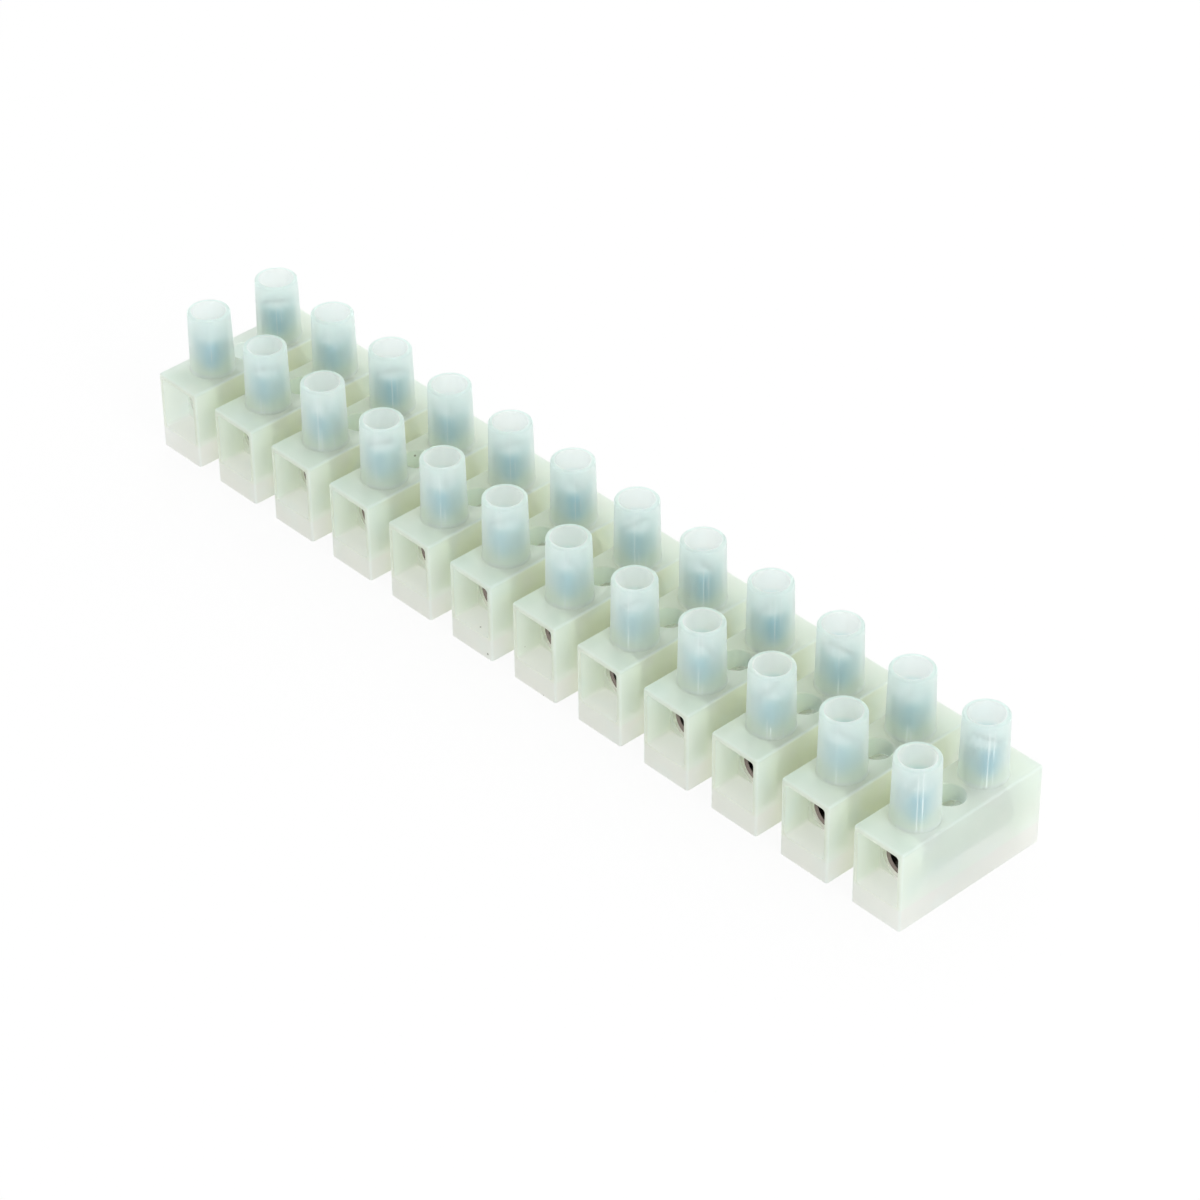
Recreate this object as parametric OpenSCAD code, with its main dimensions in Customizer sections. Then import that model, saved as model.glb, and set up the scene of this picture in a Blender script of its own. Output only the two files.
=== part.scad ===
// Screw terminal strip: one milky polyamide moulding with a row of pole blocks,
// a plated clamp tube inside each block and two slotted clamp screws in each tube.
// X runs along the row, Y along the wires and Z up from the mounting surface.
// The origin is the middle of the underside. All sizes are in millimetres.

/* [Row of poles] */
// Number of poles in the row
poles = 12; // [2:1:16]
// Distance from one pole to the next
pitch = 10; // [9:0.1:12]

/* [Pole block] */
// Width of a block along the row
block_w = 6.6; // [6:0.1:8]
// Length of a block along the wires
block_l = 20.3; // [18:0.1:26]
// Height of a block without its towers
block_h = 9.8; // [9:0.1:12]
// Radius of the block's upright and top edges
edge_r = 0.3; // [0.1:0.05:0.4]

/* [Screw towers] */
// Distance between the two towers of a block
tower_spacing = 9.8; // [8.8:0.1:11]
// Height of a tower above the block
tower_h = 7.6; // [6.5:0.1:9]
// Outer diameter of a tower at its foot
tower_foot_d = 5.2; // [5:0.05:5.4]
// Outer diameter of a tower at its rim
tower_rim_d = 4.9; // [4.7:0.05:5]
// Diameter of the screwdriver bore down through a tower
tower_bore_d = 3.75; // [3.7:0.05:4]
// Diameter of the neck below that bore, which guides the screw's shank
neck_d = 3.3; // [3.2:0.05:3.5]
// Wall between a neck and the wire entry beside it
neck_wall = 0.25; // [0.2:0.05:0.6]
// Radius on the outside of the rim
rim_r = 0.25; // [0.1:0.05:0.3]
// Radius of the fillet at the foot
foot_r = 0.2; // [0.1:0.05:0.25]

/* [Wire entries] */
// Thickness of the floor under a wire entry
floor_t = 2.7; // [2:0.1:3.5]
// Thickness of the roof over a wire entry
entry_roof = 0.6; // [0.5:0.05:0.8]
// Thickness of the wall beside a wire entry
entry_wall = 0.55; // [0.45:0.05:0.7]
// Radius of a wire entry's corners
entry_corner_r = 0.4; // [0.2:0.05:0.6]

/* [Inspection well] */
// Diameter of the well between the two towers of a block
well_d = 3.5; // [2.5:0.1:4]

/* [Fixing holes] */
// Diameter of the fixing hole between two blocks
fixing_hole_d = 3.2; // [2.8:0.1:3.4]
// Wall of the boss around a fixing hole
boss_wall = 1.1; // [0.8:0.1:1.4]
// Height of the boss
boss_h = 5; // [3.5:0.1:7]
// Length along the wires of the web that joins two blocks
web_l = 3.4; // [2:0.1:4]
// Height of the web
web_h = 3; // [2:0.1:3.5]

/* [Clamp tube] */
// Outer diameter of a tube
tube_d = 5; // [4.6:0.1:5.4]
// Diameter of the wire bore through a tube
tube_bore_d = 3.2; // [2.8:0.1:3.4]
// Chamfer at the mouths of the wire bore
tube_chamfer = 0.25; // [0.1:0.05:0.3]
// Gap all round between a tube and its seat in the block
seat_clearance = 0.05; // [0.03:0.01:0.08]
// Height of the sill from a wire entry's floor up to the seat
seat_sill = 0.05; // [0.05:0.05:0.3]

/* [Clamp screw] */
// Diameter of a screw's shank
screw_d = 3; // [2.5:0.05:3.2]
// Length of a screw under its head
screw_l = 5.4; // [5:0.1:6.5]
// Diameter of the head
head_d = 3.55; // [3.4:0.05:3.6]
// Height of the head
head_h = 2; // [1.6:0.1:2.4]
// Chamfer on the head's top edge
head_chamfer = 0.2; // [0.1:0.05:0.3]
// Width of the screwdriver slot
slot_w = 0.7; // [0.5:0.05:0.9]
// Depth of the screwdriver slot
slot_depth = 0.9; // [0.6:0.1:1.2]
// Height of the tapered point
point_h = 0.8; // [0.6:0.05:1]
// Diameter of the flat at the end of the point
point_d = 1.8; // [1.4:0.1:2]
// Gap all round between a screw and its hole in the tube
thread_clearance = 0.05; // [0.02:0.01:0.08]
// Gap between the point of a backed-out screw and the wire bore
point_clearance = 0.05; // [0.03:0.01:0.2]

/* [Hidden] */
$fn = 64;
// Small overlap that carries each cut past the face it opens
past = 0.5;
// Depth to which the arc of a foot fillet dips into the faces that it joins
foot_dip = 0.02;
// Turn from the slot of one screw to that of the next
slot_turn = 137.5;

gap = pitch - block_w;
entry_w = block_w - 2 * entry_wall;
entry_h = block_h - floor_t - entry_roof;
entry_z = floor_t + entry_h / 2;
seat_d = tube_d + 2 * seat_clearance;
tube_z = floor_t + seat_sill + seat_d / 2;
tube_l = tower_spacing + neck_d + 2 * neck_wall;
// a screw driven home meets this shoulder, halfway up the roof of the wire entry
shoulder_z = block_h - entry_roof / 2;
entry_depth = (block_l - tube_l) / 2;
boss_d = fixing_hole_d + 2 * boss_wall;
screw_hole_d = screw_d + 2 * thread_clearance;
point_z = tube_z + tube_bore_d / 2 + point_clearance;

SIDES = [-1, 1];
SIDE_NAMES = ["front", "rear"];

// X of a pole, counted from 1; half a count gives the middle of a gap
function pole_x(i) = (i - (poles + 1) / 2) * pitch;

// A rectangle about the origin with exact round corners
module round_rect(size, r) {
    square([size.x - 2 * r, size.y], center = true);
    square([size.x, size.y - 2 * r], center = true);
    for (sx = SIDES, sy = SIDES)
        translate([sx * (size.x / 2 - r), sy * (size.y / 2 - r)])
            circle(r);
}

// A profile seen along Y, drawn as X and Z, drawn out to a length about Y = 0
module along_y(length) {
    rotate([90, 0, 0])
        linear_extrude(length, center = true)
            children();
}

// A profile seen along X, drawn as Y and Z, drawn out to a width about X = 0
module along_x(width) {
    rotate([90, 0, 90])
        linear_extrude(width, center = true)
            children();
}

// One block: its plan has round corners, and its top edges are rounded along both ways
module block() {
    // the rounded profiles reach below the underside, so that only their top corners count
    tall = 2 * block_h;
    intersection() {
        linear_extrude(block_h)
            round_rect([block_w, block_l], edge_r);
        along_y(block_l + past)
            round_rect([block_w, tall], edge_r);
        along_x(block_w + past)
            round_rect([block_l, tall], edge_r);
    }
}

// One tapered tower with a filleted foot and a rounded rim, standing on Z = 0
module tower() {
    foot = tower_foot_d / 2;
    rim = tower_rim_d / 2;
    // the fillet's arc dips a little into the tower and the block, so that it cuts both cleanly
    foot_c = foot_r - foot_dip;
    rotate_extrude() {
        polygon([[0, -past], [foot, -past], [foot, 0], [rim, tower_h - rim_r], [0, tower_h - rim_r]]);
        square([rim - rim_r, tower_h]);
        translate([rim - rim_r, tower_h - rim_r])
            circle(rim_r);
        difference() {
            translate([0, -past])
                square([foot + foot_c, past + foot_c]);
            translate([foot + foot_c, foot_c])
                circle(foot_r);
        }
    }
}

// What is cut out of one block: both wire entries, the tube's seat, the well and the stepped screw bores
module block_cuts() {
    for (side = SIDES)
        translate([0, side * (block_l - entry_depth + past) / 2, entry_z])
            along_y(entry_depth + past)
                round_rect([entry_w, entry_h], entry_corner_r);
    translate([0, 0, tube_z])
        rotate([90, 0, 0])
            cylinder(d = seat_d, h = tube_l + past, center = true);
    translate([0, 0, tube_z])
        cylinder(d = well_d, h = block_h);
    for (side = SIDES)
        translate([0, side * tower_spacing / 2, 0]) {
            translate([0, 0, tube_z])
                cylinder(d = neck_d, h = block_h);
            translate([0, 0, shoulder_z])
                cylinder(d = tower_bore_d, h = block_h + tower_h);
        }
}

// The round boss and the web that join two neighbouring blocks
module fixing_web() {
    cylinder(d = boss_d, h = boss_h);
    translate([-(gap + past) / 2, -web_l / 2, 0])
        cube([gap + past, web_l, web_h]);
}

// The moulded body with all its blocks, in one piece
module housing() {
    color([0.87, 0.93, 0.86])
        difference() {
            union() {
                for (i = [1 : poles])
                    translate([pole_x(i), 0, 0]) {
                        block();
                        for (side = SIDES)
                            translate([0, side * tower_spacing / 2, block_h])
                                tower();
                    }
                for (i = [1 : poles - 1])
                    translate([pole_x(i + 0.5), 0, 0])
                        fixing_web();
            }
            for (i = [1 : poles])
                translate([pole_x(i), 0, 0])
                    block_cuts();
            for (i = [1 : poles - 1])
                translate([pole_x(i + 0.5), 0, -past])
                    cylinder(d = fixing_hole_d, h = boss_h + 2 * past);
        }
}

// The tube that takes a wire from each side, with a hole for each clamp screw
module clamp_tube(i) {
    bore = tube_bore_d / 2;
    wall = tube_d / 2;
    color([0.78, 0.76, 0.72])
        translate([pole_x(i), 0, tube_z])
            difference() {
                rotate([90, 0, 0])
                    cylinder(d = tube_d, h = tube_l, center = true);
                rotate([90, 0, 0])
                    rotate_extrude()
                        polygon([
                            [0, -tube_l / 2 - past],
                            [bore + tube_chamfer + past, -tube_l / 2 - past],
                            [bore, -tube_l / 2 + tube_chamfer],
                            [bore, tube_l / 2 - tube_chamfer],
                            [bore + tube_chamfer + past, tube_l / 2 + past],
                            [0, tube_l / 2 + past]
                        ]);
                for (side = SIDES)
                    translate([0, side * tower_spacing / 2, 0])
                        cylinder(d = screw_hole_d, h = wall + past);
            }
}

// A slotted clamp screw, backed out until its point is clear of the wire bore
module clamp_screw(i, side) {
    head = head_d / 2;
    shank = screw_d / 2;
    top = screw_l + head_h;
    // the number of this screw in the row turns its slot
    turn = slot_turn * (2 * i + side);
    color([0.72, 0.74, 0.76])
        translate([pole_x(i), side * tower_spacing / 2, point_z])
            rotate([0, 0, turn])
                difference() {
                    rotate_extrude()
                        polygon([
                            [0, 0],
                            [point_d / 2, 0],
                            [shank, point_h],
                            [shank, screw_l],
                            [head, screw_l],
                            [head, top - head_chamfer],
                            [head - head_chamfer, top],
                            [0, top]
                        ]);
                    translate([-head_d, -slot_w / 2, top - slot_depth])
                        cube([2 * head_d, slot_w, slot_depth + past]);
                }
}

housing();
for (i = [1 : poles])
    clamp_tube(i);
for (i = [1 : poles], s = [0, 1])
    clamp_screw(i, SIDES[s]);
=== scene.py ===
"""Looks of a screw terminal strip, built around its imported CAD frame.

X runs along the row of poles, Y along the wires and Z up, and the strip stands on Z = 0.
Lengths are in metres. Each piece stands in for one CAD node and rides on that node's body.
"""

import logging
import math
from collections.abc import Iterable, Sequence
from dataclasses import dataclass
from enum import Enum

import bmesh
import bpy
from mathutils import Matrix, Vector


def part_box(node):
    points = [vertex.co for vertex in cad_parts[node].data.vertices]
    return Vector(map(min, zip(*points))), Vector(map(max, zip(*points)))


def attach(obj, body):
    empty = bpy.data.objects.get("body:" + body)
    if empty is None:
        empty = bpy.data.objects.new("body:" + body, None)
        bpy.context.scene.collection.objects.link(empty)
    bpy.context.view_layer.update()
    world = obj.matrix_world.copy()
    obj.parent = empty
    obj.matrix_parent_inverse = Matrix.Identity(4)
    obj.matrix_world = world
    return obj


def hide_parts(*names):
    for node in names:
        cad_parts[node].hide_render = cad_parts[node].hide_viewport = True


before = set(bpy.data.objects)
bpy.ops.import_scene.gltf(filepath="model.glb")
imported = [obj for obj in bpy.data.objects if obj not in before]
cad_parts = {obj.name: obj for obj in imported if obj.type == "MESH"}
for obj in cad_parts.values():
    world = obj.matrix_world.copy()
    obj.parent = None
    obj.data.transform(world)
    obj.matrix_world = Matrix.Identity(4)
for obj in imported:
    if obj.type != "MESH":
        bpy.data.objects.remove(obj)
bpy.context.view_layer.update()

log = logging.getLogger("terminal_strip")

MM = 0.001
# Attribute that keeps the place of a turned piece's points on the lathe
LATHE = "turned"
WHITE = (1.0, 1.0, 1.0, 1.0)

Point = tuple[float, float]
Place = tuple[float, float, float]
Colour = tuple[float, float, float]


class Side(Enum):
    """The two wire sides of the strip, with the sign of their Y."""

    FRONT = -1
    REAR = 1

    @property
    def label(self) -> str:
        """The side's name in the CAD nodes and bodies."""
        return self.name.lower()


class Slot(Enum):
    """The record's material slots."""

    HOUSING = "milky_polyamide"
    TUBE = "plated_brass"
    SCREW = "zinc_steel"


class SocketKind(Enum):
    """Kinds of input that a geometry tree of this script can have."""

    WHOLE = "NodeSocketInt"
    LENGTH = "NodeSocketFloat"
    PLACE = "NodeSocketVector"
    OBJECT = "NodeSocketObject"
    MATERIAL = "NodeSocketMaterial"


# Sizes


def middle(node: str) -> Vector:
    """The middle of a CAD node's box.

    Args:
        node: Name of the CAD node.

    Returns:
        The middle of its box at rest.
    """
    low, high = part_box(node)
    return (low + high) / 2


def extent(node: str) -> Vector:
    """The size of a CAD node's box.

    Args:
        node: Name of the CAD node.

    Returns:
        Its extents along X, Y and Z.
    """
    low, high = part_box(node)
    return high - low


@dataclass(frozen=True)
class StripSizes:
    """Sizes of the whole strip: those that the frame shows are measured there, the rest repeat the CAD source."""

    poles: int
    pitch: float
    block_w: float
    block_l: float
    height: float
    tower_spacing: float
    tube_r: float
    tube_l: float
    tube_z: float
    head_r: float
    screw_point: float
    screw_top: float

    block_h: float = 9.8 * MM
    edge_r: float = 0.3 * MM
    tower_foot_r: float = 2.6 * MM
    tower_rim_r: float = 2.45 * MM
    tower_bore_r: float = 1.875 * MM
    neck_r: float = 1.65 * MM
    rim_r: float = 0.25 * MM
    foot_r: float = 0.2 * MM
    foot_dip: float = 0.02 * MM
    floor_t: float = 2.7 * MM
    entry_roof: float = 0.6 * MM
    entry_wall: float = 0.55 * MM
    entry_corner_r: float = 0.4 * MM
    well_r: float = 1.75 * MM
    hole_r: float = 1.6 * MM
    boss_r: float = 2.7 * MM
    boss_h: float = 5.0 * MM
    web_l: float = 3.4 * MM
    web_h: float = 3.0 * MM
    seat_gap: float = 0.05 * MM
    # Overlap that carries each cut past the face it opens
    past: float = 0.5 * MM

    # Rounded lips of the hollows, which the CAD source leaves sharp
    lip_r: float = 0.12 * MM
    entry_lip_r: float = 0.06 * MM

    @classmethod
    def from_frame(cls) -> "StripSizes":
        """Measure the driving sizes on the CAD nodes.

        Returns:
            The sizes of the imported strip.
        """
        poles = sum(name.startswith("clamp_tube_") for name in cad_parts)
        first, last = middle("clamp_tube_1"), middle(f"clamp_tube_{poles}")
        pitch = (last.x - first.x) / (poles - 1)
        housing, tube = extent("housing"), extent("clamp_tube_1")
        screw = "clamp_screw_1_rear"
        low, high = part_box(screw)
        return cls(
            poles=poles,
            pitch=pitch,
            block_w=housing.x - (poles - 1) * pitch,
            block_l=housing.y,
            height=housing.z,
            tower_spacing=2 * middle(screw).y,
            tube_r=tube.x / 2,
            tube_l=tube.y,
            tube_z=first.z,
            head_r=extent(screw).x / 2,
            screw_point=low.z,
            screw_top=high.z,
        )

    def pole_x(self, pole: int) -> float:
        """X of a pole, counted from 1."""
        return (pole - (self.poles + 1) / 2) * self.pitch

    @property
    def shoulder_z(self) -> float:
        """Height of the step from a tower bore to the neck below it."""
        return self.block_h - self.entry_roof / 2


# Meshes


def arc(centre: Point, radius: float, start: float, end: float, steps: int) -> list[Point]:
    """Points along an arc of a profile.

    Args:
        centre: The arc's middle, as radius and height.
        radius: The arc's radius.
        start: Angle of the first point in degrees, from the outward direction towards up.
        end: Angle of the last point in degrees.
        steps: Number of stretches between the points.

    Returns:
        The points, both ends included.
    """
    turns = [math.radians(start + (end - start) * k / steps) for k in range(steps + 1)]
    return [(centre[0] + radius * math.cos(t), centre[1] + radius * math.sin(t)) for t in turns]


def skin(rings: Sequence[Sequence[Sequence[float]]], closed: bool) -> bpy.types.Mesh:
    """Cover rings of points with faces.

    Args:
        rings: Rings with the same number of points, or with one point where the skin comes to a tip.
        closed: Whether the last ring joins the first; otherwise wide end rings are capped.

    Returns:
        A mesh whose faces point outwards.
    """
    bm = bmesh.new()
    made = [[bm.verts.new(point) for point in ring] for ring in rings]
    for lower, upper in zip(made, made[1:] + made[:1] if closed else made[1:]):
        for k in range(max(len(lower), len(upper))):
            n = k + 1
            corners = (lower[k % len(lower)], lower[n % len(lower)], upper[n % len(upper)], upper[k % len(upper)])
            face = list(dict.fromkeys(corners))
            if len(face) > 2:
                bm.faces.new(face)
    for ring in () if closed else (made[0], made[-1]):
        if len(ring) > 2:
            bm.faces.new(ring)
    bmesh.ops.recalc_face_normals(bm, faces=bm.faces)
    mesh = bpy.data.meshes.new("skin")
    bm.to_mesh(mesh)
    bm.free()
    return mesh


def revolve(profile: Sequence[Point], segments: int, closed: bool = False) -> bpy.types.Mesh:
    """Turn a profile about Z.

    Args:
        profile: Points as radius and height; an open profile starts and ends on the axis.
        segments: Number of faces around the axis.
        closed: Whether the profile is a loop clear of the axis.

    Returns:
        The turned mesh.
    """
    turns = [2 * math.pi * k / segments for k in range(segments)]
    rings = [
        [(r * math.cos(t), r * math.sin(t), z) for t in turns] if r > 0 else [(0.0, 0.0, z)]
        for r, z in profile
    ]
    return skin(rings, closed)


def rounded_rectangle(width: float, height: float, radius: float, steps: int) -> list[Point]:
    """Corners of a rectangle about the origin, with round corners.

    Args:
        width: Full width.
        height: Full height.
        radius: Corner radius.
        steps: Stretches in each corner.

    Returns:
        The outline's points, anticlockwise.
    """
    points: list[Point] = []
    for quarter, (sx, sy) in enumerate(((1, 1), (-1, 1), (-1, -1), (1, -1))):
        centre = (sx * (width / 2 - radius), sy * (height / 2 - radius))
        points += arc(centre, radius, 90 * quarter, 90 * quarter + 90, steps)
    return points


def rounded_block(size: Vector, radius: float, steps: int) -> bpy.types.Mesh:
    """A box on Z = 0 with every edge rounded apart from those of its underside.

    Args:
        size: Extents along X, Y and Z.
        radius: Radius of the edges.
        steps: Stretches in each rounded edge.

    Returns:
        The block's mesh.
    """
    bm = bmesh.new()
    bmesh.ops.create_cube(bm, size=1)
    bm.transform(Matrix.LocRotScale(Vector((0, 0, size.z / 2)), None, size))
    sharp = [e for e in bm.edges if max(v.co.z for v in e.verts) > size.z / 2]
    bmesh.ops.bevel(bm, geom=sharp, offset=radius, segments=steps, profile=0.5, affect="EDGES")
    bmesh.ops.recalc_face_normals(bm, faces=bm.faces)
    mesh = bpy.data.meshes.new("block")
    bm.to_mesh(mesh)
    bm.free()
    return mesh


# Node graphs


class Wire:
    """An output socket that arithmetic works on: each operator adds one Math node."""

    def __init__(self, graph: "Graph", socket: bpy.types.NodeSocket) -> None:
        """Keep the socket and the graph it belongs to."""
        self.graph, self.socket = graph, socket

    def __add__(self, other: "Value") -> "Wire":
        """This plus another value."""
        return self.graph.math("ADD", self, other)

    def __radd__(self, other: "Value") -> "Wire":
        """Another value plus this."""
        return self.graph.math("ADD", other, self)

    def __sub__(self, other: "Value") -> "Wire":
        """This minus another value."""
        return self.graph.math("SUBTRACT", self, other)

    def __rsub__(self, other: "Value") -> "Wire":
        """Another value minus this."""
        return self.graph.math("SUBTRACT", other, self)

    def __mul__(self, other: "Value") -> "Wire":
        """This times another value."""
        return self.graph.math("MULTIPLY", self, other)

    def __rmul__(self, other: "Value") -> "Wire":
        """Another value times this."""
        return self.graph.math("MULTIPLY", other, self)

    def __truediv__(self, other: "Value") -> "Wire":
        """This divided by another value."""
        return self.graph.math("DIVIDE", self, other)

    def __rtruediv__(self, other: "Value") -> "Wire":
        """Another value divided by this."""
        return self.graph.math("DIVIDE", other, self)

    def __pow__(self, other: "Value") -> "Wire":
        """This to the power of another value."""
        return self.graph.math("POWER", self, other)

    def __rpow__(self, other: "Value") -> "Wire":
        """Another value to the power of this."""
        return self.graph.math("POWER", other, self)

    def __neg__(self) -> "Wire":
        """This with the other sign."""
        return self.graph.math("MULTIPLY", self, -1.0)

    def __abs__(self) -> "Wire":
        """This without its sign."""
        return self.graph.math("ABSOLUTE", self)

    def step(self, low: float, high: float) -> "Wire":
        """A smooth step from 0 at low to 1 at high."""
        ends = {"Value": self, "From Min": low, "From Max": high}
        return self.graph.node("ShaderNodeMapRange", ends, interpolation_type="SMOOTHSTEP")

    def across(self, level: float, band: Point) -> "Wire":
        """A smooth step from 0 to 1 over a band about a level."""
        return self.step(level + band[0], level + band[1])


Value = Wire | float


class Graph:
    """A node tree that is written as expressions."""

    def __init__(self, tree: bpy.types.NodeTree) -> None:
        """Work on a tree whose nodes are all made here."""
        self.tree = tree

    def node(
        self, kind: str, inputs: dict[str | int, object] | None = None, output: int | str = 0, **settings: object
    ) -> Wire:
        """Add a node; every node of this script is made here.

        Args:
            kind: The node's type name.
            inputs: Wires, lists of wires or constants by socket name or number.
            output: Name or number of the output that is wanted.
            settings: The node's own properties.

        Returns:
            The wanted output.
        """
        made = self.tree.nodes.new(kind)
        for key, value in settings.items():
            setattr(made, key, value)
        for key, value in (inputs or {}).items():
            for one in value if isinstance(value, list) else [value]:
                if isinstance(one, Wire):
                    self.tree.links.new(one.socket, made.inputs[key])
                else:
                    made.inputs[key].default_value = one
        return Wire(self, made.outputs[output] if made.outputs else made.inputs[0])

    def math(self, operation: str, *values: Value) -> Wire:
        """A Math node on one, two or three values."""
        return self.node("ShaderNodeMath", dict(enumerate(values)), operation=operation)

    def vector(self, x: Value = 0.0, y: Value = 0.0, z: Value = 0.0) -> Wire:
        """A vector of three values."""
        return self.node("ShaderNodeCombineXYZ", {"X": x, "Y": y, "Z": z})

    def parts(self, vector: Wire) -> tuple[Wire, Wire, Wire]:
        """The X, Y and Z of a vector."""
        split = self.node("ShaderNodeSeparateXYZ", {"Vector": vector}).socket.node
        return tuple(Wire(self, split.outputs[axis]) for axis in "XYZ")

    def distance(self, first: Wire, second: Wire) -> Wire:
        """The distance from an axis of a point at two offsets from it."""
        return self.math("SQRT", first * first + second * second)

    def mix(self, factor: Value, first: Wire | Colour, second: Wire | Colour) -> Wire:
        """A colour between two others."""
        ends = {0: factor, 6: opaque(first), 7: opaque(second)}
        return self.node("ShaderNodeMix", ends, output=2, data_type="RGBA")

    def noise(self, place: Wire, size: float, detail: float = 2.0, spread: float = 0.5) -> Wire:
        """Noise from 0 to 1 whose features are about this size."""
        inputs = {"Vector": place, "Scale": 1 / size, "Detail": detail, "Roughness": spread}
        return self.node("ShaderNodeTexNoise", inputs, output="Fac")

    def bump(self, height: Wire, depth: float, strength: float = 0.4) -> Wire:
        """The normal of a surface that a height shapes to a depth."""
        return self.node("ShaderNodeBump", {"Height": height, "Distance": depth, "Strength": strength})


def opaque(colour: Wire | Colour) -> Wire | tuple[float, ...]:
    """A constant colour with its alpha; a wire stays as it is."""
    return colour if isinstance(colour, Wire) else (*colour, 1.0)


class GeometryTree(Graph):
    """A geometry tree with named inputs that makes one mesh."""

    def __init__(self, name: str, sockets: dict[str, SocketKind]) -> None:
        """Make an empty tree.

        Args:
            name: The tree's name.
            sockets: Its inputs by name.
        """
        super().__init__(bpy.data.node_groups.new(name, "GeometryNodeTree"))
        face = self.tree.interface
        made = {key: face.new_socket(key, in_out="INPUT", socket_type=kind.value) for key, kind in sockets.items()}
        face.new_socket("Geometry", in_out="OUTPUT", socket_type="NodeSocketGeometry")
        self.identifiers = {key: socket.identifier for key, socket in made.items()}
        self.entry = self.node("NodeGroupInput").socket.node

    def __getitem__(self, name: str) -> Wire:
        """The value of a named input."""
        return Wire(self, self.entry.outputs[name])

    def row(self, count: Value, pitch: Value, y: Value = 0.0) -> Wire:
        """Points in a row along X, centred on X = 0.

        Args:
            count: Number of points.
            pitch: Distance from one to the next.
            y: Y of the row.

        Returns:
            The points.
        """
        start = self.vector((count - 1) * pitch * -0.5, y)
        ends = {"Count": count, "Start Location": start, "Offset": self.vector(pitch)}
        return self.node("GeometryNodeMeshLine", ends, mode="OFFSET")

    def shape(self, name: str) -> Wire:
        """The mesh of the object that a named input holds."""
        return self.node("GeometryNodeObjectInfo", {"Object": self[name]}, output="Geometry")

    def copies(self, points: Wire, shape: Wire, turn: float = 0.0) -> Wire:
        """A copy of a shape on each point, turned about Z."""
        ends = {"Points": points, "Instance": shape, "Rotation": (0.0, 0.0, turn)}
        return self.node("GeometryNodeInstanceOnPoints", ends)

    def union(self, *solids: Wire) -> Wire:
        """Solids joined into one."""
        ends = {"Mesh 2": list(solids)}
        return self.node("GeometryNodeMeshBoolean", ends, operation="UNION", solver="MANIFOLD")

    def cut(self, solid: Wire, *cutters: Wire) -> Wire:
        """A solid without its cutters."""
        ends = {"Mesh 1": solid, "Mesh 2": list(cutters)}
        return self.node("GeometryNodeMeshBoolean", ends, operation="DIFFERENCE", solver="MANIFOLD")

    def finish(self, geometry: Wire) -> None:
        """End the tree with real geometry in the material of its input.

        Args:
            geometry: What the tree has made.
        """
        real = self.node("GeometryNodeRealizeInstances", {"Geometry": geometry})
        done = self.node("GeometryNodeSetMaterial", {"Geometry": real, "Material": self["Material"]})
        self.node("NodeGroupOutput", {"Geometry": done})

    def build(self, name: str, values: dict[str, object]) -> bpy.types.Object:
        """Make a mesh object with the tree's inputs set.

        Args:
            name: The object's name.
            values: The inputs' values by name.

        Returns:
            An object at the origin with its own mesh and no modifier.
        """
        holder = link(name, bpy.data.meshes.new(name))
        modifier = holder.modifiers.new("build", "NODES")
        modifier.node_group = self.tree
        for key, value in values.items():
            modifier[self.identifiers[key]] = value
        return bake(holder)


# Objects


def link(name: str, mesh: bpy.types.Mesh) -> bpy.types.Object:
    """Put a mesh into the scene.

    Args:
        name: The object's name.
        mesh: Its mesh.

    Returns:
        An object at the origin.
    """
    made = bpy.data.objects.new(name, mesh)
    bpy.context.scene.collection.objects.link(made)
    return made


def bake(holder: bpy.types.Object) -> bpy.types.Object:
    """Replace an object's mesh and modifiers by what they make.

    Args:
        holder: The object.

    Returns:
        The same object without modifiers.
    """
    graph = bpy.context.evaluated_depsgraph_get()
    graph.update()
    before, mesh = holder.data, bpy.data.meshes.new_from_object(holder.evaluated_get(graph), depsgraph=graph)
    holder.modifiers.clear()
    holder.data = mesh
    bpy.data.meshes.remove(before)
    mesh.name = holder.name
    return holder


def smooth(piece: bpy.types.Object, angle: float) -> None:
    """Shade a piece smoothly and keep its flat faces flat.

    Args:
        piece: The piece.
        angle: Angle in degrees over which an edge stays sharp.
    """
    piece.data.shade_smooth()
    piece.data.set_sharp_from_angle(angle=math.radians(angle))
    weighted = piece.modifiers.new("normals", "WEIGHTED_NORMAL")
    weighted.keep_sharp = True
    bake(piece)


def remove(objects: Iterable[bpy.types.Object]) -> None:
    """Take helper objects and their meshes out of the file.

    Args:
        objects: The helpers.
    """
    for helper in objects:
        mesh = helper.data
        bpy.data.objects.remove(helper)
        bpy.data.meshes.remove(mesh)


# Finishes


def new_material(name: str) -> tuple[bpy.types.Material, Graph]:
    """Make an empty material.

    Args:
        name: The material's name.

    Returns:
        The material and the graph of its nodes.
    """
    material = bpy.data.materials.new(name)
    material.use_nodes = True
    material.node_tree.nodes.clear()
    return material, Graph(material.node_tree)


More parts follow.
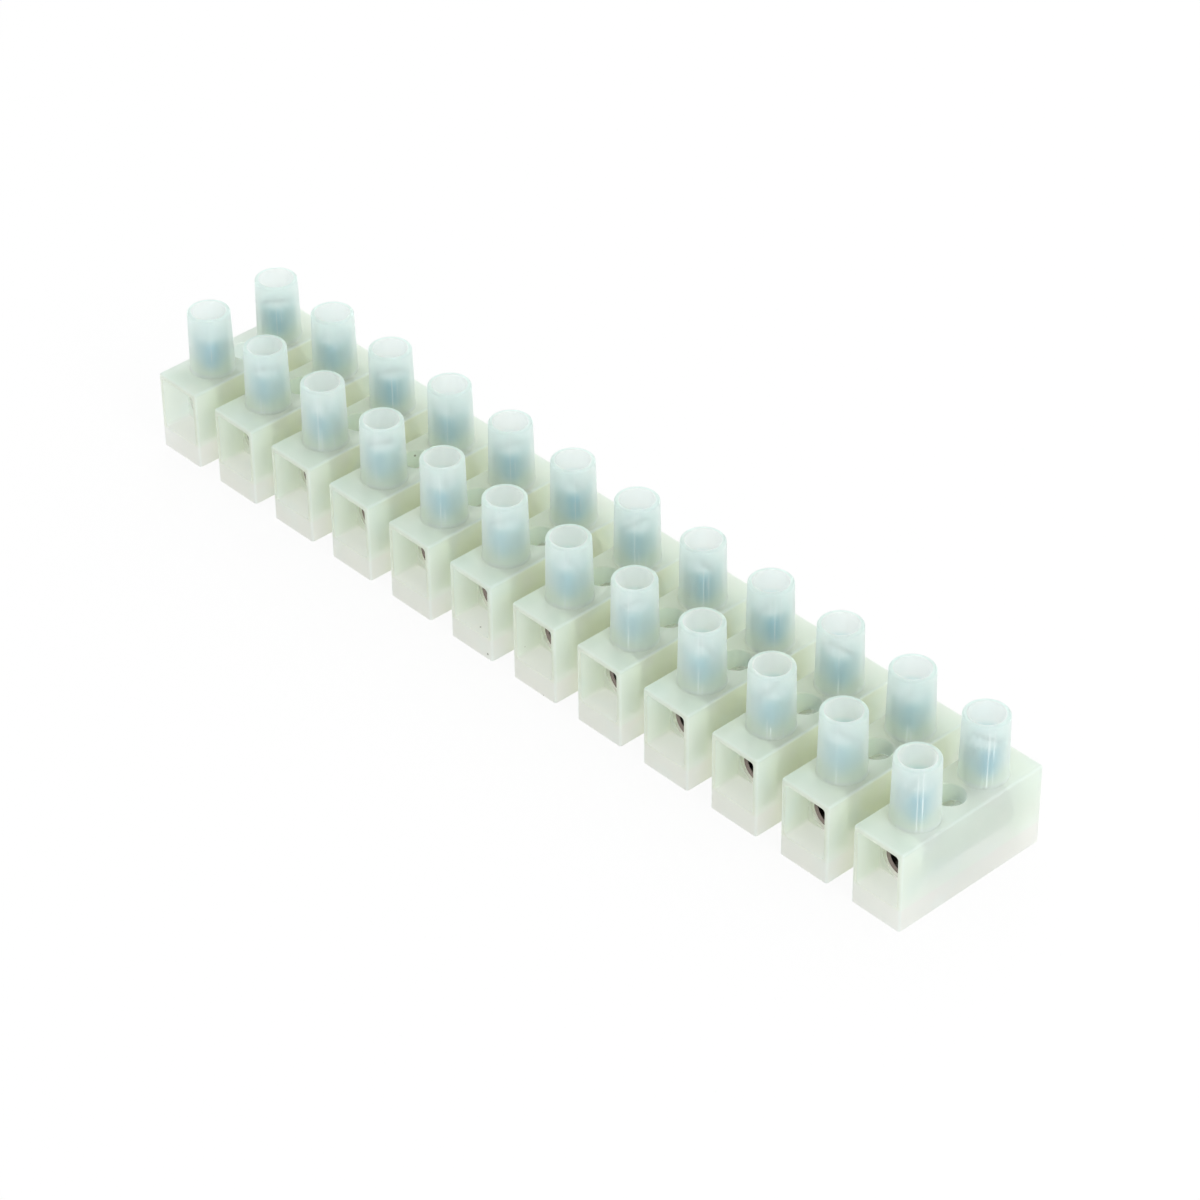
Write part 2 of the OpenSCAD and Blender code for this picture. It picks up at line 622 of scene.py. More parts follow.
@dataclass(frozen=True)
class Spot:
    """Where a shaded point of the moulding lies: in the row, in its block and about its nearest tower."""

    graph: Graph
    place: Wire
    x: Wire
    y: Wire
    z: Wire
    beside: Wire
    angle: Wire
    radius: Wire
    own: Wire

    @classmethod
    def on_strip(cls, g: Graph, s: StripSizes) -> "Spot":
        """Work out where a shaded point lies.

        Args:
            g: The material's graph.
            s: Sizes of the strip, which has an even number of poles.

        Returns:
            Its coordinates, its X from the middle of its block, its angle in degrees and its distance about the
            tower's axis, and a number from 0 to 1 that each tower has for its own.
        """
        place = g.node("ShaderNodeTexCoord", output="Object")
        x, y, z = g.parts(place)
        cell, side = x / s.pitch, g.math("SIGN", y)
        beside = (g.math("FRACT", cell) - 0.5) * s.pitch
        ahead = y - side * (s.tower_spacing / 2)
        which = g.vector(g.math("FLOOR", cell), side)
        return cls(
            graph=g,
            place=place,
            x=x,
            y=y,
            z=z,
            beside=beside,
            angle=g.math("ARCTAN2", ahead, beside) * math.degrees(1),
            radius=g.distance(beside, ahead),
            own=g.node("ShaderNodeTexWhiteNoise", {"Vector": which}, output="Value", noise_dimensions="3D"),
        )


@dataclass(frozen=True)
class Regions:
    """How far a shaded point belongs to each region of the moulding, each from 0 to 1."""

    above_floor: Wire
    tall: Wire
    off_bore: Wire
    tower: Wire
    screw: Wire
    edge: Wire
    gap: Wire
    entry: Wire
    well: Wire
    weld: Wire
    speck: Wire


@dataclass(frozen=True)
class WeldLine:
    """A fine upright line on the towers, whitened as a painted highlight; angles are in degrees.

    The line lies at a shift from the weld's azimuth, wanders from tower to tower and shows where the fade is over a
    least value.
    """

    shift: float
    wander: float
    least: float


@dataclass(frozen=True)
class MilkyPolyamide:
    """The milky moulding, which lets light and soft shapes through: mint blocks, bluish towers and warm bores, with
    painted shade, painted glow and painted highlights in some of its tints.
    """

    sizes: StripSizes

    # Tints from the sole up, then those of single places
    sole_tint: Colour = (0.925, 0.93, 0.91)
    block_tint: Colour = (0.905, 0.965, 0.915)
    # Painted shade: the front end of each block's top is laid darker
    land_tint: Colour = (0.78, 0.87, 0.83)
    # Painted glow: the flanks deep in the gaps between blocks are laid yellow-olive, for light scattered through the
    # plastic
    gap_tint: Colour = (0.96, 1.0, 0.80)
    # Painted glow: the foot of each tower is laid yellow-green, for the block's light coming up through it
    foot_tint: Colour = (0.89, 1.0, 0.845)
    waist_tint: Colour = (0.915, 1.0, 0.95)
    rim_tint: Colour = (0.855, 0.975, 0.94)
    # Painted light: the walls of the bores are laid near white, for light that comes through the thin tower wall
    bore_tint: Colour = (1.0, 0.97, 0.975)
    # Painted shade: the bore wall at the screw's height is laid bluish dark, for the screw seen through the tower
    core_tint: Colour = (0.66, 0.88, 0.91)
    # Painted shade: an upright bluish band on the outer wall at the screw's height
    streak_tint: Colour = (0.50, 0.78, 0.885)
    # Painted shade: the end faces of the blocks are laid darker and yellower, as if less light falls on them
    face_tint: Colour = (0.885, 0.89, 0.80)
    # Painted shade: the wall of each inspection well is laid grey-blue
    well_tint: Colour = (0.68, 0.86, 0.85)
    # Painted glow: the walls inside the wire entries are laid lighter and creamier, for light that comes through the
    # thin walls
    entry_tint: Colour = (1.0, 0.99, 0.915)
    warm_cloud: Colour = (0.985, 0.965, 0.935)
    cool_cloud: Colour = (0.87, 0.975, 0.985)
    # Painted highlight: the rounded edges of the blocks are laid lighter
    edge_tint: Colour = (0.91, 1.0, 0.99)
    # Colour of the towers' haze, which also whitens the weld lines as painted highlights
    weld_tint: Colour = (0.91, 0.975, 0.96)
    speck_tint: Colour = (0.16, 0.14, 0.12)

    # How strongly a tint shows where it is laid
    land_share: float = 0.8
    bore_share: float = 0.9
    face_share: float = 0.7
    well_share: float = 0.7
    warm_share: float = 0.45
    cool_share: float = 0.5
    edge_share: float = 0.6
    speck_share: float = 0.9

    # Shares of the light that is passed on from behind
    block_glow: float = 0.5
    tower_glow: float = 0.36
    entry_glow: float = 0.48

    # Shares of white haze
    block_chalk: float = 0.1
    tower_chalk: float = 0.14
    # Haze on the edges, also a painted highlight
    edge_chalk: float = 0.15
    # More haze inside the wire entries, which lifts their shade
    entry_chalk: float = 0.18
    # More haze on the flanks in the gaps, which lifts their shade
    gap_chalk: float = 0.35
    # Haze on the weld lines, a painted highlight
    weld_chalk: float = 0.45
    speck_chalk: float = 0.5

    # The clear share and its polished skin
    see_through: float = 0.78
    bend: float = 1.07
    roughness: float = 0.36
    cloud_roughness: float = 0.04
    coat: float = 0.6
    coat_roughness: float = 0.15
    sheen: float = 1.0
    sheen_roughness: float = 0.47

    # Bands in which a region sets in, each from the height, wall or end that its line of code names
    floor_band: Point = (-0.4 * MM, 0.3 * MM)
    tall_band: Point = (-0.3 * MM, 3.5 * MM)
    bore_band: Point = (0.05 * MM, 0.2 * MM)
    tower_band: Point = (0.0, 0.3 * MM)
    foot_band: Point = (-0.1 * MM, 0.8 * MM)
    waist_band: Point = (1.2 * MM, 3.2 * MM)
    rim_band: Point = (-0.6 * MM, 1.2 * MM)
    haze_band: Point = (-1.0 * MM, 2.0 * MM)
    screw_bands: tuple[Point, Point] = ((0.4 * MM, 2.4 * MM), (-0.6 * MM, 1.0 * MM))
    land_band: Point = (-0.5 * MM, -0.2 * MM)
    land_y: Point = (-9.0 * MM, -6.5 * MM)
    face_band: Point = (-0.2 * MM, -0.05 * MM)
    edge_band: Point = (-0.35 * MM, -0.1 * MM)
    flank_band: Point = (-0.15 * MM, 0.0)
    end_band: Point = (-0.6 * MM, -0.3 * MM)
    gap_y: Point = (4.0 * MM, 10.0 * MM)
    gap_fade: float = 0.9
    entry_bands: tuple[Point, Point] = ((-0.2 * MM, 0.0), (-0.4 * MM, -0.1 * MM))
    entry_wall_band: Point = (0.05 * MM, 0.2 * MM)
    entry_top_band: Point = (-0.4 * MM, -0.2 * MM)
    well_band: Point = (0.02 * MM, 0.1 * MM)
    well_top_band: Point = (-0.2 * MM, 0.0)

    # Flow clouds, grain and specks
    cloud_size: float = 4.0 * MM
    warm_band: Point = (0.5, 0.8)
    cool_band: Point = (0.2, 0.5)
    grain_size: float = 0.2 * MM
    grain_share: float = 0.2
    bump_depth: float = 0.02 * MM
    speck_cell: float = 2.2 * MM
    speck_reach: Point = (0.05, 0.075)
    speck_chance: Point = (0.86, 0.88)

    # Weld lines, whitened as painted highlights, and the streak beside them, a painted dark band where the screw shows
    # through; angles are in degrees
    weld_azimuth: float = -40.0
    weld_width: float = 1.2
    weld_fade_size: float = 3.0 * MM
    weld_fade_apart: float = 90.0 * MM
    weld_fade_step: float = 0.2
    weld_lines: tuple[WeldLine, ...] = (
        WeldLine(shift=-7.0, wander=26.0, least=0.3),
        WeldLine(shift=4.0, wander=34.0, least=0.45),
        WeldLine(shift=12.0, wander=-40.0, least=0.55),
    )
    # The streak is a painted dark band where the screw shows through, turned towards the camera side
    streak_shift: float = -4.0
    streak_wander: float = 16.0
    streak_width: float = 23.0
    streak_least: float = 0.3

    def build(self) -> bpy.types.Material:
        """Make the material.

        Returns:
            The housing's material.
        """
        material, g = new_material(Slot.HOUSING.value)
        spot = Spot.on_strip(g, self.sizes)
        on = self.regions(spot)
        clouds = g.noise(spot.place, self.cloud_size, detail=1.0)
        grain = g.noise(spot.place, self.grain_size, detail=0.0)
        bump = g.bump(grain * self.grain_share + on.weld, self.bump_depth)
        tint, glow = self.layered(spot, on, bump)
        tint = self.spotted(tint, on, clouds)
        clear = g.node(
            "ShaderNodeBsdfPrincipled",
            {
                "Base Color": tint,
                "Roughness": self.roughness + (clouds - 0.5) * self.cloud_roughness,
                "Normal": bump,
                "IOR": self.bend,
                "Transmission Weight": self.see_through,
                "Coat Weight": self.coat,
                "Coat Roughness": self.coat_roughness,
                "Sheen Weight": self.sheen,
                "Sheen Roughness": self.sheen_roughness,
            },
        )
        share = self.block_glow + on.tall * (self.tower_glow - self.block_glow) + on.entry * self.entry_glow
        milk = g.node("ShaderNodeMixShader", {0: share, 1: clear, 2: glow})
        # Near-white haze colour on the towers, which also paints the weld highlights
        chalky = g.mix(on.tower * (1 - on.speck), tint, self.weld_tint)
        white = g.node("ShaderNodeBsdfPrincipled", {"Base Color": chalky, "Roughness": 1.0, "Specular IOR Level": 0.0})
        mixed = g.node("ShaderNodeMixShader", {0: self.chalk(spot, on), 1: milk, 2: white})
        g.node("ShaderNodeOutputMaterial", {"Surface": mixed})
        return material

    def regions(self, spot: Spot) -> Regions:
        """Work out the regions that a shaded point belongs to.

        Args:
            spot: Where the point lies.

        Returns:
            Its share in each region.
        """
        s, z = self.sizes, spot.z
        off_bore = spot.radius.across(s.tower_bore_r, self.bore_band)
        tower = z.across(s.block_h, self.tower_band) * off_bore
        foot_band, top_band = self.screw_bands
        return Regions(
            above_floor=z.across(s.floor_t, self.floor_band),
            tall=z.across(s.block_h, self.tall_band),
            off_bore=off_bore,
            tower=tower,
            screw=z.across(s.block_h, foot_band) * (1 - z.across(s.screw_top, top_band)),
            edge=self.edges(spot),
            gap=self.in_gap(spot),
            entry=self.in_entry(spot),
            well=self.in_well(spot),
            weld=self.welds(spot) * tower,
            speck=self.specks(spot) * (1 - tower),
        )

    def layered(self, spot: Spot, on: Regions, bump: Wire) -> tuple[Wire, Wire]:
        """Lay the tints of the large regions over each other.

        Args:
            spot: Where the shaded point lies.
            on: Its regions.
            bump: The surface's normal.

        Returns:
            The tint, and a shader that passes light on from behind in that tint.
        """
        s, g, z = self.sizes, spot.graph, spot.z
        # Painted shade on the front end of each block's top, on the front side only
        front_shade = z.across(s.block_h, self.land_band) * (1 - spot.y.step(*self.land_y))
        # Painted shade: a bluish band on the tower's outer wall at the screw's height
        streak = self.upright(spot, self.streak_shift, self.streak_wander, self.streak_width)
        streak = streak * (spot.own * (1 - self.streak_least) + self.streak_least)
        face = abs(spot.y).across(s.block_l / 2, self.face_band) * on.above_floor
        # Painted shade or light in these layers: the front of the top, the gaps, the tower foot, the bores, the
        # screw's height, its streak and the end faces
        layers = (
            (on.above_floor, self.block_tint),
            (front_shade * self.land_share, self.land_tint),
            (on.gap, self.gap_tint),
            (z.across(s.block_h, self.foot_band), self.foot_tint),
            (z.across(s.block_h, self.waist_band), self.waist_tint),
            (z.across(s.screw_top, self.rim_band), self.rim_tint),
            ((1 - on.off_bore) * self.bore_share, self.bore_tint),
            (on.screw * (1 - on.off_bore), self.core_tint),
            (streak * on.screw * on.off_bore, self.streak_tint),
            (face * self.face_share, self.face_tint),
        )
        tint, glow = self.sole_tint, self.lit_through(g, self.sole_tint, bump)
        for mask, colour in layers:
            tint = g.mix(mask, tint, colour)
            glow = g.node("ShaderNodeMixShader", {0: mask, 1: glow, 2: self.lit_through(g, colour, bump)})
        return tint, glow

    def spotted(self, tint: Wire, on: Regions, clouds: Wire) -> Wire:
        """Lay the tints of the small regions and the flow clouds over a tint.

        Args:
            tint: The tint of the large regions.
            on: The regions of the shaded point.
            clouds: Noise from 0 to 1.

        Returns:
            The finished tint.
        """
        # Painted shade in the wells, painted glow in the wire entries and painted highlights on the edges
        layers = (
            (on.well * self.well_share, self.well_tint),
            (on.entry, self.entry_tint),
            (clouds.step(*self.warm_band) * self.warm_share, self.warm_cloud),
            ((1 - clouds.step(*self.cool_band)) * self.cool_share, self.cool_cloud),
            (on.edge * self.edge_share, self.edge_tint),
            (on.speck, self.speck_tint),
        )
        for mask, colour in layers:
            tint = tint.graph.mix(mask, tint, colour)
        return tint

    def chalk(self, spot: Spot, on: Regions) -> Wire:
        """How much white haze there is in the plastic; on edges and weld lines it is a painted highlight, and in gaps
        and wire entries it lifts the shade.

        Args:
            spot: Where the shaded point lies.
            on: Its regions.

        Returns:
            The share of haze.
        """
        low = on.tower * (1 - spot.z.across(self.sizes.screw_top, self.haze_band))
        shares = (
            (on.weld, self.weld_chalk),
            (low, self.tower_chalk),
            (1 - on.tall, self.block_chalk),
            (on.edge, self.edge_chalk),
            (on.gap, self.gap_chalk),
            (on.entry, self.entry_chalk),
            (on.speck, self.speck_chalk),
        )
        return sum((mask * share for mask, share in shares), 0.0)

    def lit_through(self, g: Graph, colour: Colour, bump: Wire) -> Wire:
        """A shader that passes on the light from behind in one colour."""
        return g.node("ShaderNodeBsdfTranslucent", {"Color": opaque(colour), "Normal": bump})

    def upright(self, spot: Spot, shift: float, wander: float, width: float) -> Wire:
        """An upright line near the weld of each tower, 1 on its middle; its shift, wander and width are in degrees."""
        off = spot.angle - (self.weld_azimuth + shift) - (spot.own - 0.5) * wander
        return math.e ** -((off / width) ** 2)

    def welds(self, spot: Spot) -> Wire:
        """Fine upright lines on each tower where the melt closed behind the core, whitened as painted highlights on
        the side that faces the camera.

        Args:
            spot: Where the shaded point lies.

        Returns:
            1 on a line, otherwise 0.
        """
        g = spot.graph
        fade = g.noise(g.vector(spot.own * self.weld_fade_apart, 0.0, spot.z), self.weld_fade_size, detail=0.0)
        total = 0.0
        for line in self.weld_lines:
            shown = fade.step(line.least, line.least + self.weld_fade_step)
            total = self.upright(spot, line.shift, line.wander, self.weld_width) * shown + total
        return total

    def edges(self, spot: Spot) -> Wire:
        """The rounded edges of the blocks, where a painted highlight is laid.

        Args:
            spot: Where the shaded point lies.

        Returns:
            1 along an edge, otherwise 0.
        """
        s, g = self.sizes, spot.graph
        limits = ((abs(spot.beside), s.block_w / 2), (abs(spot.y), s.block_l / 2), (spot.z, s.block_h))
        across, along, up = (place.across(limit, self.edge_band) for place, limit in limits)
        return g.math("MAXIMUM", across * along, up * g.math("MAXIMUM", across, along))

    def in_gap(self, spot: Spot) -> Wire:
        """The flanks that face a neighbouring block, where a painted yellowish glow and more white haze lift the
        shade.

        Args:
            spot: Where the shaded point lies.

        Returns:
            1 far in on such a flank, less towards its ends, otherwise 0.
        """
        s = self.sizes
        flank = abs(spot.beside).across(s.block_w / 2, self.flank_band)
        deep = 1 - abs(spot.y).step(*self.gap_y) * self.gap_fade
        row_end = s.pole_x(s.poles) + s.block_w / 2
        return flank * deep * (1 - abs(spot.x).across(row_end, self.end_band))

    def in_entry(self, spot: Spot) -> Wire:
        """The walls inside a wire entry.

        Args:
            spot: Where the shaded point lies.

        Returns:
            1 on such a wall, otherwise 0.
        """
        s, along = self.sizes, abs(spot.y)
        tube_band, mouth_band = self.entry_bands
        length = along.across(s.tube_l / 2, tube_band) * (1 - along.across(s.block_l / 2, mouth_band))
        width = 1 - abs(spot.beside).across(s.block_w / 2 - s.entry_wall, self.entry_wall_band)
        return length * width * (1 - spot.z.across(s.block_h, self.entry_top_band))

    def in_well(self, spot: Spot) -> Wire:
        """The wall of an inspection well, which a painted shade darkens.

        Args:
            spot: Where the shaded point lies.

        Returns:
            1 on such a wall, otherwise 0.
        """
        s = self.sizes
        away = spot.graph.distance(spot.beside, spot.y)
        return (1 - away.across(s.well_r, self.well_band)) * (1 - spot.z.across(s.block_h, self.well_top_band))

    def specks(self, spot: Spot) -> Wire:
        """Sparse dark specks in the melt.

        Args:
            spot: Where the shaded point lies.

        Returns:
            The share of dark in it.
        """
        g = spot.graph
        cells = g.node("ShaderNodeTexVoronoi", {"Vector": spot.place, "Scale": 1 / self.speck_cell}).socket.node
        chance, _, _ = g.parts(Wire(g, cells.outputs["Color"]))
        dot = 1 - Wire(g, cells.outputs["Distance"]).step(*self.speck_reach)
        return dot * chance.step(*self.speck_chance) * self.speck_share


@dataclass(frozen=True)
class PlatedMetal:
    """A plated metal with turning rings about its own axis, a fine mottle and, if wanted, a darker tint inside or on
    top that paints shade.
    """

    name: str
    bright: Colour
    dull: Colour
    roughness: float
    inside: Colour = (0.0, 0.0, 0.0)
    inside_r: float = 0.0
    face: Colour = (0.0, 0.0, 0.0)
    face_z: float = 0.0
    tint_band: Point = (-0.02 * MM, 0.02 * MM)
    ring_size: float = 0.06 * MM
    ring_roughness: float = 0.06
    mottle_size: float = 1.2 * MM
    mottle_band: Point = (0.35, 0.7)
    mottle_roughness: float = 0.15
    bump_depth: float = 0.01 * MM

    def build(self) -> bpy.types.Material:
        """Make the material.

        Returns:
            A metal that reads the attribute "turned", the place on the lathe.
        """
        material, g = new_material(self.name)
        place = g.node("ShaderNodeTexCoord", output="Object")
        x, y, z = g.parts(g.node("ShaderNodeAttribute", output="Vector", attribute_name=LATHE))
        radius = g.distance(x, y)
        rings = g.noise(g.vector(radius, 0.0, z), self.ring_size, detail=2.0)
        mottle = g.noise(place, self.mottle_size, detail=4.0)
        tint = g.mix(mottle.step(*self.mottle_band), self.bright, self.dull)
        # Painted shade: a darker tint inside a radius, or above a height
        if self.inside_r:
            tint = g.mix(radius.across(self.inside_r, self.tint_band), self.inside, tint)
        if self.face_z:
            tint = g.mix(z.across(self.face_z, self.tint_band), tint, self.face)
        shader = g.node(
            "ShaderNodeBsdfPrincipled",
            {
                "Base Color": tint,
                "Metallic": 1.0,
                "Roughness": self.roughness + mottle * self.mottle_roughness + rings * self.ring_roughness,
                "Normal": g.bump(rings, self.bump_depth),
            },
        )
        g.node("ShaderNodeOutputMaterial", {"Surface": shader})
        return material


PLATED_BRASS = PlatedMetal(
    name=Slot.TUBE.value,
    bright=(0.88, 0.86, 0.83),
    dull=(0.74, 0.72, 0.69),
    roughness=0.17,
    # Painted shade: the tube's bore is laid dark brown
    inside=(0.23, 0.195, 0.17),
    inside_r=1.87 * MM,
)
ZINC_STEEL = PlatedMetal(
    name=Slot.SCREW.value,
    bright=(0.74, 0.80, 0.84),
    dull=(0.62, 0.68, 0.72),
    roughness=0.28,
    # Painted shade: the head is laid darker and bluer than the shank, so that it shows through the tower wall as a
    # dark core
    face=(0.52, 0.59, 0.64),
    face_z=7.15 * MM,
)


# Pieces


@dataclass(frozen=True)
class Housing:
    """The one-piece moulding with its blocks, towers, wire entries, wells and fixing bosses."""

    sizes: StripSizes
    segments: int = 64
    corner_steps: int = 4
    fillet_steps: int = 5
    lip_steps: int = 4
    boss_edge_r: float = 0.15 * MM
    boss_steps: int = 3
    web_edge_r: float = 0.1 * MM
    web_steps: int = 2
    merge_distance: float = 0.002 * MM
    sharp_angle: float = 28.0

    def build(self, material: bpy.types.Material) -> bpy.types.Object:
        """Make the moulding in place of its CAD node.

        Args:
            material: The moulding's material.

        Returns:
            The finished piece.
        """
        s = self.sizes
        web = Vector((s.pitch - s.block_w + s.past, s.web_l, s.web_h))
        shapes = {
            "Block": rounded_block(Vector((s.block_w, s.block_l, s.block_h)), s.edge_r, self.corner_steps),
            "Tower": self.tower(),
            "Boss": self.boss(),
            "Web": rounded_block(web, self.web_edge_r, self.web_steps),
            "Entry": self.entry(),
            "Seat": self.seat(),
            "Well": self.well(),
            "Bore": self.bore(),
            "Fixing Hole": self.fixing_hole(),
        }
        helpers = {name: link(f"helper {name}", mesh) for name, mesh in shapes.items()}
        values = {"Poles": s.poles, "Pitch": s.pitch, "Tower Spacing": s.tower_spacing, "Material": material}
        piece = self.tree(list(shapes)).build("moulded_housing", {**helpers, **values})
        remove(helpers.values())
        smooth(piece, self.sharp_angle)
        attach(piece, "strip")
        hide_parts("housing")
        return piece

    def tree(self, shapes: Sequence[str]) -> GeometryTree:
        """The tree that repeats the shapes along the row, joins the solids and cuts the hollows.

        Args:
            shapes: Names of the inputs that hold a shape.

        Returns:
            The finished tree.
        """
        sockets = {name: SocketKind.OBJECT for name in shapes}
        sockets |= {"Poles": SocketKind.WHOLE, "Pitch": SocketKind.LENGTH, "Tower Spacing": SocketKind.LENGTH}
        tree = GeometryTree("Moulded housing", sockets | {"Material": SocketKind.MATERIAL})
        poles, pitch = tree["Poles"], tree["Pitch"]
        blocks, gaps = tree.row(poles, pitch), tree.row(poles - 1, pitch)
        towers = [tree.row(poles, pitch, tree["Tower Spacing"] * (side.value / 2)) for side in Side]
        solid = tree.union(
            tree.copies(blocks, tree.shape("Block")),
            *(tree.copies(row, tree.shape("Tower")) for row in towers),
            tree.copies(gaps, tree.shape("Boss")),
            tree.copies(gaps, tree.shape("Web")),
        )
        moulding = tree.cut(
            solid,
            *(tree.copies(blocks, tree.shape("Entry"), turn) for turn in (0.0, math.pi)),
            tree.copies(blocks, tree.shape("Seat")),
            tree.copies(blocks, tree.shape("Well")),
            *(tree.copies(row, tree.shape("Bore")) for row in towers),
            tree.copies(gaps, tree.shape("Fixing Hole")),
        )
        ends = {"Geometry": moulding, "Distance": self.merge_distance}
        tree.finish(tree.node("GeometryNodeMergeByDistance", ends))
        return tree

    def tower(self) -> bpy.types.Mesh:
        """One solid tower, its foot sunk into the block so that the fillet cuts the block's top cleanly.

        Returns:
            The tower's mesh.
        """
        s = self.sizes
        foot, rim, arm, top = s.tower_foot_r, s.tower_rim_r, s.foot_r - s.foot_dip, s.height
        profile = [(0.0, s.shoulder_z), (foot + arm, s.shoulder_z)]
        profile += arc((foot + arm, s.block_h + arm), s.foot_r, 270, 180, self.fillet_steps)
        profile += arc((rim - s.rim_r, top - s.rim_r), s.rim_r, 0, 90, self.fillet_steps)
        return revolve([*profile, (0.0, top)], self.segments)

    def boss(self) -> bpy.types.Mesh:
        """The round boss of a fixing hole, with a rounded top edge.

        Returns:
            The solid boss.
        """
        s, edge = self.sizes, self.boss_edge_r
        rounded = arc((s.boss_r - edge, s.boss_h - edge), edge, 0, 90, self.boss_steps)
        return revolve([(0.0, 0.0), (s.boss_r, 0.0), *rounded, (0.0, s.boss_h)], self.segments)

    def entry(self) -> bpy.types.Mesh:
        """The rear wire entry as a cutter, widening at its mouth by a rounded lip.

        Returns:
            The cutter's mesh.
        """
        s = self.sizes
        width, low, high = s.block_w - 2 * s.entry_wall, s.floor_t, s.block_h - s.entry_roof
        mouth = s.block_l / 2
        lip = arc((mouth - s.entry_lip_r, s.entry_lip_r), s.entry_lip_r, -90, 0, self.lip_steps)
        stations = [(s.tube_l / 2, 0.0), *lip, (mouth + s.past, s.entry_lip_r)]
        rings = []
        for y, wider in stations:
            size = (width + 2 * wider, high - low + 2 * wider)
            outline = rounded_rectangle(*size, s.entry_corner_r + wider, self.corner_steps)
            rings.append([(px, y, pz + (low + high) / 2) for px, pz in outline])
        return skin(rings, closed=False)

    def seat(self) -> bpy.types.Mesh:
        """The clamp tube's seat as a cutter along Y.

        Returns:
            The cutter's mesh.
        """
        s = self.sizes
        radius, half = s.tube_r + s.seat_gap, s.tube_l / 2 + s.past / 2
        mesh = revolve([(0.0, -half), (radius, -half), (radius, half), (0.0, half)], self.segments)
        mesh.transform(Matrix.Translation((0, 0, s.tube_z)) @ Matrix.Rotation(math.pi / 2, 4, "X"))
        return mesh

    def well(self) -> bpy.types.Mesh:
        """The inspection well as a cutter with a rounded lip."""
        s = self.sizes
        return self.mouthed([(0.0, s.tube_z), (s.well_r, s.tube_z)], s.well_r, s.block_h)

    def bore(self) -> bpy.types.Mesh:
        """The stepped screw bore as a cutter with a rounded lip.

        Returns:
            The cutter's mesh.
        """
        s = self.sizes
        foot = [(0.0, s.tube_z), (s.neck_r, s.tube_z), (s.neck_r, s.shoulder_z), (s.tower_bore_r, s.shoulder_z)]
        return self.mouthed(foot, s.tower_bore_r, s.height)

    def fixing_hole(self) -> bpy.types.Mesh:
        """A fixing hole as a cutter with a rounded lip."""
        s = self.sizes
        return self.mouthed([(0.0, -s.past), (s.hole_r, -s.past)], s.hole_r, s.boss_h)

    def mouthed(self, foot: list[Point], radius: float, top: float) -> bpy.types.Mesh:
        """A round cutter whose mouth widens by a rounded lip.

        Args:
            foot: Its profile from the axis up to the wall.
            radius: Radius of the wall.
            top: Height of the mouth.

        Returns:
            The cutter's mesh.
        """
        s = self.sizes
        lip = arc((radius + s.lip_r, top - s.lip_r), s.lip_r, 180, 90, self.lip_steps)
        return revolve([*foot, *lip, (radius + s.lip_r, top + s.past), (0.0, top + s.past)], self.segments)


@dataclass(frozen=True)
class ClampTubes:
    """The plated tubes, each with a wire bore right through and two threaded holes from above."""

    sizes: StripSizes
    bore_r: float = 1.6 * MM
    chamfer: float = 0.25 * MM
    edge: float = 0.08 * MM
    hole_r: float = 1.55 * MM
    drill_reach: float = 1.5
    segments: int = 64
    sharp_angle: float = 30.0

    def build(self, material: bpy.types.Material) -> list[bpy.types.Object]:
        """Make all tubes in place of their CAD nodes.

        Args:
            material: The tubes' material.

        Returns:
            The finished pieces in the order of the row.
        """
        s = self.sizes
        helpers = {
            "Blank": link("helper tube", self.blank()),
            "Drill": link("helper drill", self.drill()),
        }
        tree = self.tree(list(helpers))
        pieces = []
        for pole in range(1, s.poles + 1):
            place = (s.pole_x(pole), 0.0, s.tube_z)
            values = {"Spacing": s.tower_spacing, "Place": place, "Material": material}
            piece = tree.build(f"tube_{pole}", {**helpers, **values})
            smooth(piece, self.sharp_angle)
            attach(piece, "strip")
            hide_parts(f"clamp_tube_{pole}")
            pieces.append(piece)
        remove(helpers.values())
        return pieces

    def tree(self, shapes: Sequence[str]) -> GeometryTree:
        """The tree that drills a blank and sets it in its place.

        Args:
            shapes: Names of the inputs that hold a shape.

        Returns:
            The finished tree.
        """
        sockets = {name: SocketKind.OBJECT for name in shapes}
        sockets |= {"Spacing": SocketKind.LENGTH, "Place": SocketKind.PLACE, "Material": SocketKind.MATERIAL}
        tree = GeometryTree("Clamp tube", sockets)
        half = tree["Spacing"] * 0.5
        drills = [
            tree.node("GeometryNodeTransform", {"Geometry": tree.shape("Drill"), "Translation": tree.vector(0.0, y)})
            for y in (half, -half)
        ]
        drilled = tree.cut(tree.shape("Blank"), *drills)
        x, y, z = tree.parts(tree.node("GeometryNodeInputPosition"))
        turned = store_turned(tree, drilled, tree.vector(x, z, y))
        tree.finish(tree.node("GeometryNodeTransform", {"Geometry": turned, "Translation": tree["Place"]}))
        return tree

    def blank(self) -> bpy.types.Mesh:
        """The tube along Y before it is drilled, with chamfered mouths and broken outer edges.

        Returns:
            The tube's mesh.
        """
        s = self.sizes
        half, outer, inner = s.tube_l / 2, s.tube_r, self.bore_r
        profile: list[Point] = []
        for side in (-1, 1):
            end = [
                (inner, side * (half - self.chamfer)),
                (inner + self.chamfer, side * half),
                (outer - self.edge, side * half),
                (outer, side * (half - self.edge)),
            ]
            profile += end if side < 0 else end[::-1]
        mesh = revolve(profile, self.segments, closed=True)
        mesh.transform(Matrix.Rotation(math.pi / 2, 4, "X"))
        return mesh

    def drill(self) -> bpy.types.Mesh:
        """The cutter of a screw hole, which reaches past the tube's wall."""
        top = self.drill_reach * self.sizes.tube_r
        return revolve([(0.0, 0.0), (self.hole_r, 0.0), (self.hole_r, top), (0.0, top)], self.segments)


